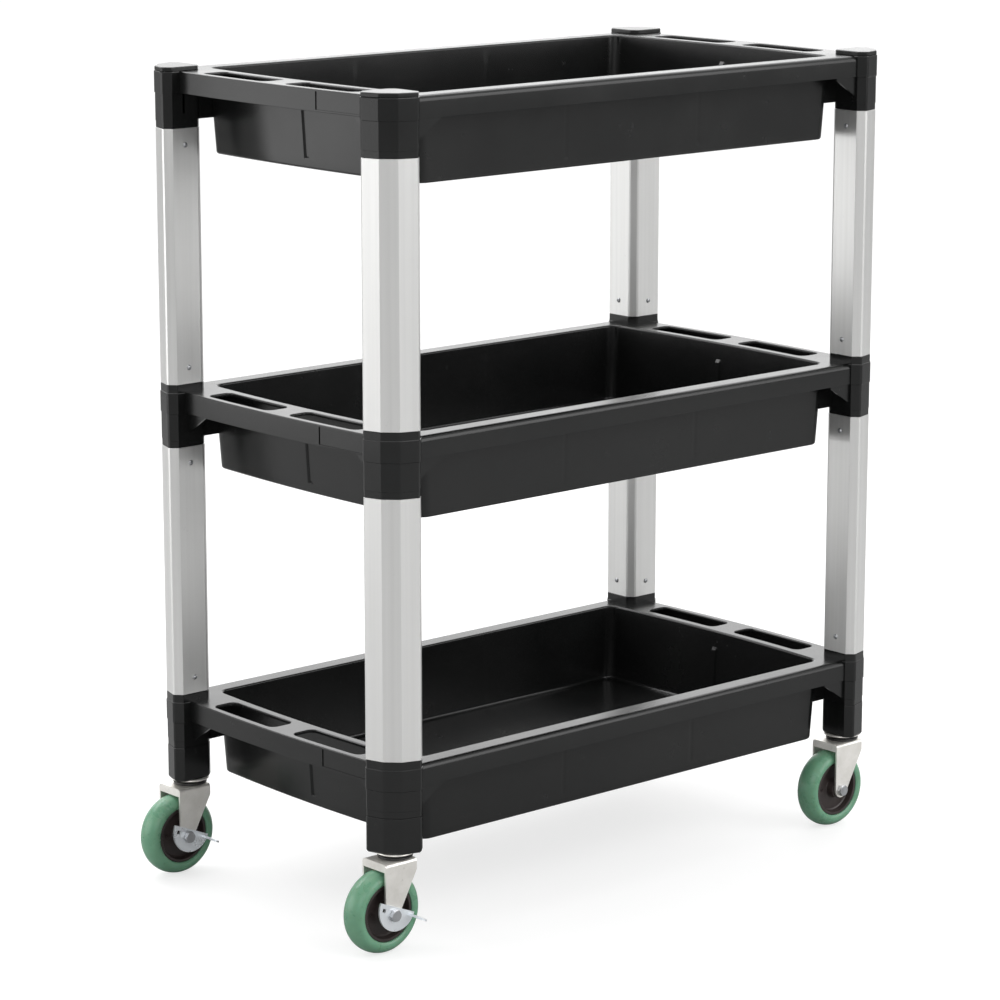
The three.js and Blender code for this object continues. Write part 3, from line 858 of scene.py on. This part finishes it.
# ------------------------------------------------------------------ posts, caps, feet and screws
def build_upright(node, name):
    low, high = (corner.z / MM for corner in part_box(node))
    levels = [(low, 0.3), (low + 0.3, 0), (high - 0.3, 0), (high, 0.3)]
    inner = [(high, UPRIGHT_WALL), (low, UPRIGHT_WALL)]
    rings = post_rings(name, levels) + post_rings(name, inner)
    tube = solid(f"{node}_tube", *skin(rings, joined=True), 25)
    fitted(tube, "cart", "post_aluminium", node)


def build_cap(name):
    node = f"cap_{name}"
    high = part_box(node)[1].z / MM
    low = RIMS["top"] + SEAT_GAP
    levels = [(low, 0.4), (low + 0.4, 0)]
    levels += [(high - 1.3, 0), (high - 0.8, 0.12), (high - 0.35, 0.45), (high, 1.2)]
    lid = solid(f"{node}_lid", *skin(post_rings(name, levels)))
    fitted(lid, "cart", "black_plastic", node)


def build_foot(name):
    node = f"foot_{name}"
    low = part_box(node)[0].z / MM
    high = RIMS["bottom"] - FOOT_SOCKET_DROP - SEAT_GAP
    levels = [(low, 2), (low + 0.5, 1.4), (low + 2.2, 0.2), (low + 3, 0)]
    levels += [(high - 0.5, 0), (high, 0.6)]
    plug = solid(f"{node}_plug", *skin(post_rings(name, levels)))
    fitted(plug, "cart", "black_plastic", node)


def screw_head():
    """A small pan head with a cross recess, facing +X, about its seat."""
    dome = [(0.01, 1.9), (1.4, 1.8), (2.5, 1.35), (3.1, 0.6), (3.3, 0), (3.3, -0.5), (0.01, -0.5)]
    head = turned("screw_head", dome[::-1], 24)
    arms = []
    for turn in (0, 90):
        outline = [(-1.7, -0.35), (1.7, -0.35), (1.7, 0.35), (-1.7, 0.35)]
        arm = prism("arm", outline, 0.9, 3)
        arms.append(moved(arm, Matrix.Rotation(math.radians(turn), 4, "Z")))
    combined(head, arms, "DIFFERENCE")
    tidy(head.data, 35)
    return moved(head, Matrix.Rotation(math.radians(90), 4, "Y"))


def build_screws():
    """Two screws near each end of each upright, one through each flat that faces along a side."""
    pattern = screw_head()
    flat = next(reach for angle, reach in POST_FACES if angle == 135)
    for level in ("lower", "upper"):
        for name, (sx, sy) in CORNERS.items():
            low, high = (corner.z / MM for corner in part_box(f"upright_{level}_{name}"))
            centre = POSTS[name]
            for end, height in (("low", low + SCREW_FROM_END), ("high", high - SCREW_FROM_END)):
                for face, turn, dx, dy in (
                    ("x", 0 if sx < 0 else 180, -sx * flat, sy * SCREW_ASIDE),
                    ("y", 90 if sy < 0 else -90, sx * SCREW_ASIDE, -sy * flat),
                ):
                    screw = copied(pattern, f"screw_{level}_{name}_{end}_{face}")
                    moved(screw, Matrix.Rotation(math.radians(turn), 4, "Z"))
                    moved(screw, shift(centre.x + dx, centre.y + dy, height))
                    fitted(screw, "cart", "bright_steel", finish="fastener_steel")
    bpy.data.objects.remove(pattern)


# ------------------------------------------------------------------ casters
def across(piece, axle):
    """Turns a piece made about Z so that it lies along Y through an axle's centre."""
    return moved(piece, shift(*axle) @ Matrix.Rotation(math.radians(90), 4, "X"))


def axle_bore(place):
    """A cutter for the axle's hole, along Y through a place."""
    radius = AXLE + SEAT_GAP
    return across(turned("bore", [(radius, -BORE_HALF), (radius, BORE_HALF)], 24), place)


def build_tread(name):
    half = WHEEL_HALF
    side = [
        (TREAD_INNER, half - 2.2),
        (TREAD_INNER + 0.6, half - 1.6),
        (TREAD_INNER + 2, half - 0.7),
        (TREAD_INNER + 4, half - 0.05),
        (TREAD_INNER + 6.5, half - 0.25),
        (TREAD_INNER + 9, half - 1.5),
        (WHEEL - 4.4, half - 3.6),
        (WHEEL - 2.4, half - 6.2),
        (WHEEL - 1.1, half - 9),
        (WHEEL - 0.35, half - 12),
        (WHEEL, half - 14.6),
    ]
    profile = [*((r, -y) for r, y in side), *reversed(side)]
    tread = turned(f"tread_{name}_ring", profile, 96, closed=True, crease=50)
    fitted(across(tread, AXLES[name]), f"wheel_{name}", "green_tread", f"tread_{name}")


def build_hub(name):
    """A solid-web wheel body with a small round button sunk in each side."""
    rim = TREAD_INNER - SEAT_GAP
    side = [
        (6.3, 17.5),
        (10.6, 17.5),
        (11.6, 16.9),
        (12.6, 7.5),
        (14.5, 6.2),
        (28.4, 5.4),
        (30, 6.6),
        (31, 12.6),
        (31.8, 13.6),
        (rim - 0.4, 13.6),
        (rim, 13.2),
    ]
    profile = [*((r, -y) for r, y in side), *reversed(side)]
    hub = turned(f"hub_{name}_wheel", profile, 72, closed=True)
    cutters = []
    for face in (-1, 1):
        cutter = turned("cutter", [(2.2, face * 5.2 - 1.1), (2.2, face * 5.2 + 1.1)], 20)
        cutters.append(moved(cutter, shift(-BUTTON_OUT, 0, 0)))
    combined(hub, cutters, "DIFFERENCE")
    for face in (-1, 1):
        button = turned("button", [(1.5, face * 4.9 - 1.2), (1.5, face * 4.9 + 1.1)], 16)
        combined(hub, [moved(button, shift(-BUTTON_OUT, 0, 0))], "UNION")
    tidy(hub.data, 32)
    fitted(across(hub, AXLES[name]), f"wheel_{name}", "dark_hub", f"hub_{name}")


def leg_outline(axle_x):
    """The fork's side as (x, z) points: upright rear, round foot, sloping front."""
    knee = (CROWN_FRONT, CROWN_TOP - FRONT_DROP)
    reach = math.hypot(knee[0] - axle_x, knee[1] - WHEEL)
    bearing = math.degrees(math.atan2(knee[1] - WHEEL, knee[0] - axle_x))
    touch = bearing - math.degrees(math.acos(LEG_ROUND / reach))
    return [
        *arc(axle_x, WHEEL, LEG_ROUND, -180, touch, 14),
        knee,
        (CROWN_FRONT, CROWN_TOP + 5),
        (axle_x - LEG_ROUND, CROWN_TOP + 5),
    ]


def channel_section():
    """The bent strip's section as (y, z) points, from one leg over the crown to the other."""
    bend = 4.5
    inner = bend - (FORK_OUTER - FORK_INNER)
    outer_y = FORK_OUTER - bend
    outer_z = CROWN_TOP - bend
    outside = [(FORK_OUTER, 30), *arc(outer_y, outer_z, bend, 0, 90, 6)]
    inside = [(FORK_INNER, 30), *arc(outer_y, outer_z, inner, 0, 90, 4)]
    over = [*outside, *((-y, z) for y, z in reversed(outside))]
    under = [*inside, *((-y, z) for y, z in reversed(inside))]
    return [*over, *reversed(under)]


def build_fork(name):
    """The bent steel yoke: two legs under a crown, with a lip along the crown's rear edge."""
    post = POSTS[name]
    axle_x = AXLES[name].x - post.x
    rear = axle_x - LEG_ROUND
    section = channel_section()
    rings = [[(x, y, z) for y, z in section] for x in (rear - 1, CROWN_FRONT + 1)]
    fork = solid("fork", *skin(rings))
    side = leg_outline(axle_x)
    trimmer = solid("trimmer", *skin([[(x, y, z) for x, z in side] for y in (-30, 30)]))
    combined(fork, [trimmer], "INTERSECT")
    lip_y = FORK_OUTER - 0.6
    lip_x = rear + 2.5
    outline = [(rear, -lip_y), (lip_x, -lip_y), (lip_x, lip_y), (rear, lip_y)]
    lip = prism("lip", outline, CROWN_BOTTOM - LIP_DROP, CROWN_TOP - 1.2)
    combined(fork, [lip], "UNION")
    ends = (CROWN_BOTTOM - 5, CROWN_TOP + 5)
    hole = turned("hole", [(KINGPIN_HOLE, end) for end in ends], 32)
    combined(fork, [hole, axle_bore((axle_x, 0, WHEEL))], "DIFFERENCE")
    eased(fork, 0.45)
    fork.name = f"fork_{name}_yoke"
    moved(fork, shift(post.x, post.y, 0))
    fitted(fork, f"swivel_{name}", "zinc_steel", f"fork_{name}")


def build_kingpin(name):
    post = POSTS[name]
    head_top = CROWN_BOTTOM - SEAT_GAP
    low, high = (corner.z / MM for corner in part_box(f"kingpin_{name}"))
    profile = [
        (0.01, low),
        (6.5, low),
        (8.8, low + 0.7),
        (9.9, low + 2),
        (9.9, head_top),
        (7, head_top),
        (7, DISC_BOTTOM),
        (22.6, DISC_BOTTOM),
        (23.6, DISC_BOTTOM + 0.4),
        (24, DISC_BOTTOM + 1.1),
        (23.7, DISC_BOTTOM + 2),
        (22.8, DISC_BOTTOM + 2.6),
        (8.5, DISC_BOTTOM + 2.7),
        (6, DISC_BOTTOM + 2.7),
        (6, high - 1),
        (5, high),
        (0.01, high),
    ]
    pin = moved(turned(f"kingpin_{name}_stem", profile, 48), shift(post.x, post.y, 0))
    fitted(pin, "cart", "zinc_steel", f"kingpin_{name}")


def build_race(name):
    post = POSTS[name]
    low = CROWN_TOP + SEAT_GAP
    profile = [
        (KINGPIN_HOLE, low),
        (19.2, low),
        (20.6, low + 0.5),
        (21, low + 1.5),
        (20.7, low + 2.6),
        (19.6, low + 3.2),
        (18.4, low + 3.4),
        (18.2, low + 4.6),
        (17.4, low + 5.2),
        (KINGPIN_HOLE, low + 5.2),
    ]
    race = moved(turned(f"race_{name}_ring", profile, 48, closed=True), shift(post.x, post.y, 0))
    fitted(race, f"swivel_{name}", "dark_race", f"race_{name}")


def hexagon(name, low, high, chamfer_low, chamfer_high):
    """A hexagonal prism about Z whose chosen ends have their corners turned off."""
    point = HEX / math.sqrt(3)
    body = turned(name, [(point, low), (point, high)], 6)
    reach = point + 0.2
    flat = HEX / 2 - 0.2
    chamfer = 1.1
    profile = [(flat if chamfer_low else reach, low), (reach, low + chamfer)]
    profile += [(reach, high - chamfer), (flat if chamfer_high else reach, high)]
    return combined(body, [turned("turning", profile, 32)], "INTERSECT")


def fit_axle_part(piece, name, node):
    """Lays a bolt or nut along its axle and finishes it."""
    tidy(piece.data, 30)
    across(piece, AXLES[name])
    fitted(piece, f"swivel_{name}", "bright_steel", node, finish="fastener_steel")


def build_axle(name):
    """Bolt, nut and bush of one wheel; the head is at the front, over the brake if there is one."""
    front, back = (corner.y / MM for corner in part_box(f"axle_bolt_{name}"))
    # made about Z with the head up; across() then turns +Z to -Y
    head_end = POSTS[name].y - front
    thread_end = back - POSTS[name].y
    head_low = head_end - HEAD_HEIGHT
    bolt = hexagon(f"axle_bolt_{name}_screw", head_low, head_end, False, True)
    shank = [(0.01, -thread_end), (3.2, -thread_end), (AXLE, -thread_end + 0.8)]
    shank += [(AXLE, head_low + 1), (0.01, head_low + 1)]
    combined(bolt, [turned("shank", shank, 28)], "UNION")
    fit_axle_part(bolt, name, f"axle_bolt_{name}")

    nut_near = FORK_OUTER + SEAT_GAP
    nut = hexagon(f"axle_nut_{name}_hex", -nut_near - NUT_HEIGHT, -nut_near, True, False)
    ends = (-nut_near - NUT_HEIGHT - 2, -nut_near + 2)
    bore = turned("bore", [(AXLE + SEAT_GAP, end) for end in ends], 28)
    combined(nut, [bore], "DIFFERENCE")
    fit_axle_part(nut, name, f"axle_nut_{name}")

    half = FORK_INNER - SEAT_GAP
    inner = AXLE + SEAT_GAP
    section = [(inner, -half), (inner + 1.7, -half), (inner + 2, -half + 0.3)]
    section += [(inner + 2, half - 0.3), (inner + 1.7, half), (inner, half)]
    bush = turned(f"bush_{name}_sleeve", section, 32, closed=True)
    fitted(across(bush, AXLES[name]), f"swivel_{name}", "bright_steel", f"bush_{name}")


def build_brake(name):
    """The half-moon plate with its pedal, bent out of the plate's front tip."""
    axle = AXLES[name]
    lift = BRAKE_RADIUS - BRAKE_DEPTH
    open_angle = math.degrees(math.asin(lift / BRAKE_RADIUS))
    moon = arc(0, lift, BRAKE_RADIUS, -180 - open_angle, open_angle, 40)
    near = -(FORK_OUTER + SEAT_GAP)
    far = near - BRAKE_WALL
    plate = solid("plate", *skin([[(x, y, z) for x, z in moon] for y in (far, near)]))
    tip = moon[-1][0]
    end = far - PEDAL_REACH + PEDAL_ROUND
    root = far + 1.2
    run = [(tip - PEDAL_WIDTH, root), (tip, root), (tip, end)]
    run += arc(tip - PEDAL_ROUND, end, PEDAL_ROUND, 0, -90, 5)[1:]
    run += arc(tip - 2 * PEDAL_ROUND, end, PEDAL_ROUND, -90, -180, 5)
    pedal = prism("pedal", run, -BRAKE_WALL, 0)
    combined(plate, [pedal], "UNION")
    left, right = WINDOW_X
    through = [(left, far - 2), (right, far - 2), (right, near + 2), (left, near + 2)]
    combined(plate, [prism("window", through, *WINDOW_Z)], "DIFFERENCE")
    turn = Matrix.Rotation(math.radians(BRAKE_TILT), 4, "Y")
    moved(plate, shift(BRAKE_LEAD, 0, BRAKE_RISE) @ turn)
    combined(plate, [axle_bore((0, 0, 0))], "DIFFERENCE")
    eased(plate, 0.4)
    plate.name = f"brake_{name}_plate"
    moved(plate, shift(*axle))
    fitted(plate, f"brake_{name}", "bright_steel", f"brake_{name}")


# ------------------------------------------------------------------ studio
FLOOR_HALF = 40000
SENSOR = 36
LENS = 131.4
CAMERA_PLACE = (-2.964, -3.3396, 1.4304)
CAMERA_DOWN = 12.316
CAMERA_TURN = -41.335


def build_studio():
    corners = [(x * FLOOR_HALF, y * FLOOR_HALF, 0) for x, y in ((-1, -1), (1, -1), (1, 1), (-1, 1))]
    ground = solid("studio_floor", corners, [(0, 1, 2, 3)])
    ground.data.materials.append(studio_floor())


def softbox(name, place, aim_height, width, height, power):
    """A lamp aimed at a point on the cart's middle line, out of the camera's sight."""
    target = Vector((0, 0, aim_height))
    data = bpy.data.lights.new(name, "AREA")
    data.shape = "RECTANGLE"
    data.size = width
    data.size_y = height
    data.energy = power
    lamp = bpy.data.objects.new(name, data)
    lamp.location = place
    lamp.visible_camera = False
    lamp.rotation_euler = (target - Vector(place)).to_track_quat("-Z", "Y").to_euler()
    bpy.context.scene.collection.objects.link(lamp)


def build_sky():
    """A pale room: dim low down, brighter overhead, with a wide glow behind the cart.

    The camera itself sees nothing darker than white.
    """
    world = bpy.data.worlds.new("studio")
    bpy.context.scene.world = world
    world.use_nodes = True
    tree = world.node_tree
    surface = tree.nodes["Background"]
    place = tree.nodes.new("ShaderNodeTexCoord").outputs["Generated"]
    levels = []
    for axis, start, end, low, high in (
        ((0, 0, 1), 0, 0.8, 0.4, 0.7),
        ((0.64, 0.72, 0.27), 0.55, 0.97, 0, 1.5),
    ):
        along = tree.nodes.new("ShaderNodeVectorMath")
        along.operation = "DOT_PRODUCT"
        along.inputs[1].default_value = axis
        tree.links.new(place, along.inputs[0])
        level = tree.nodes.new("ShaderNodeMapRange")
        level.interpolation_type = "SMOOTHSTEP"
        set_range(level, start, end, low, high)
        tree.links.new(along.outputs["Value"], level.inputs["Value"])
        levels.append(level.outputs["Result"])
    glow = math_node(tree.nodes, "ADD", *levels)
    seen = tree.nodes.new("ShaderNodeLightPath").outputs["Is Camera Ray"]
    tree.links.new(math_node(tree.nodes, "MAXIMUM", glow, seen), surface.inputs["Strength"])
    surface.inputs["Color"].default_value = (1.0, 1.0, 1.0, 1)


def build_camera():
    data = bpy.data.cameras.new("camera")
    data.sensor_width = SENSOR
    data.lens = LENS
    camera = bpy.data.objects.new("camera", data)
    camera.location = CAMERA_PLACE
    camera.rotation_euler = (math.radians(90 - CAMERA_DOWN), 0, math.radians(CAMERA_TURN))
    bpy.context.scene.collection.objects.link(camera)
    bpy.context.scene.camera = camera


# ------------------------------------------------------------------ assembly
build_trays()
for name, corner in CORNERS.items():
    for level in ("lower", "upper"):
        build_upright(f"upright_{level}_{name}", name)
    build_cap(name)
    build_foot(name)
    build_kingpin(name)
    build_race(name)
    build_fork(name)
    build_axle(name)
    build_hub(name)
    build_tread(name)
    if corner[0] < 0:
        build_brake(name)
build_screws()
build_studio()
build_sky()
softbox("key", (1.8, -4.0, 2.6), 0.6, 5.0, 3.6, 150)
softbox("edge", (-0.9, 2.9, 3.0), 0.7, 2.4, 1.2, 38)
softbox("front", (-3.6, -3.6, 2.6), 0.6, 3.0, 2.0, 34)
softbox("left", (-2.6, 1.6, 0.9), 0.6, 2.8, 1.7, 30)
softbox("top", (0.3, 0.6, 3.6), 0.5, 3.0, 2.4, 60)
build_camera()
bpy.context.scene.view_settings.view_transform = "Standard"
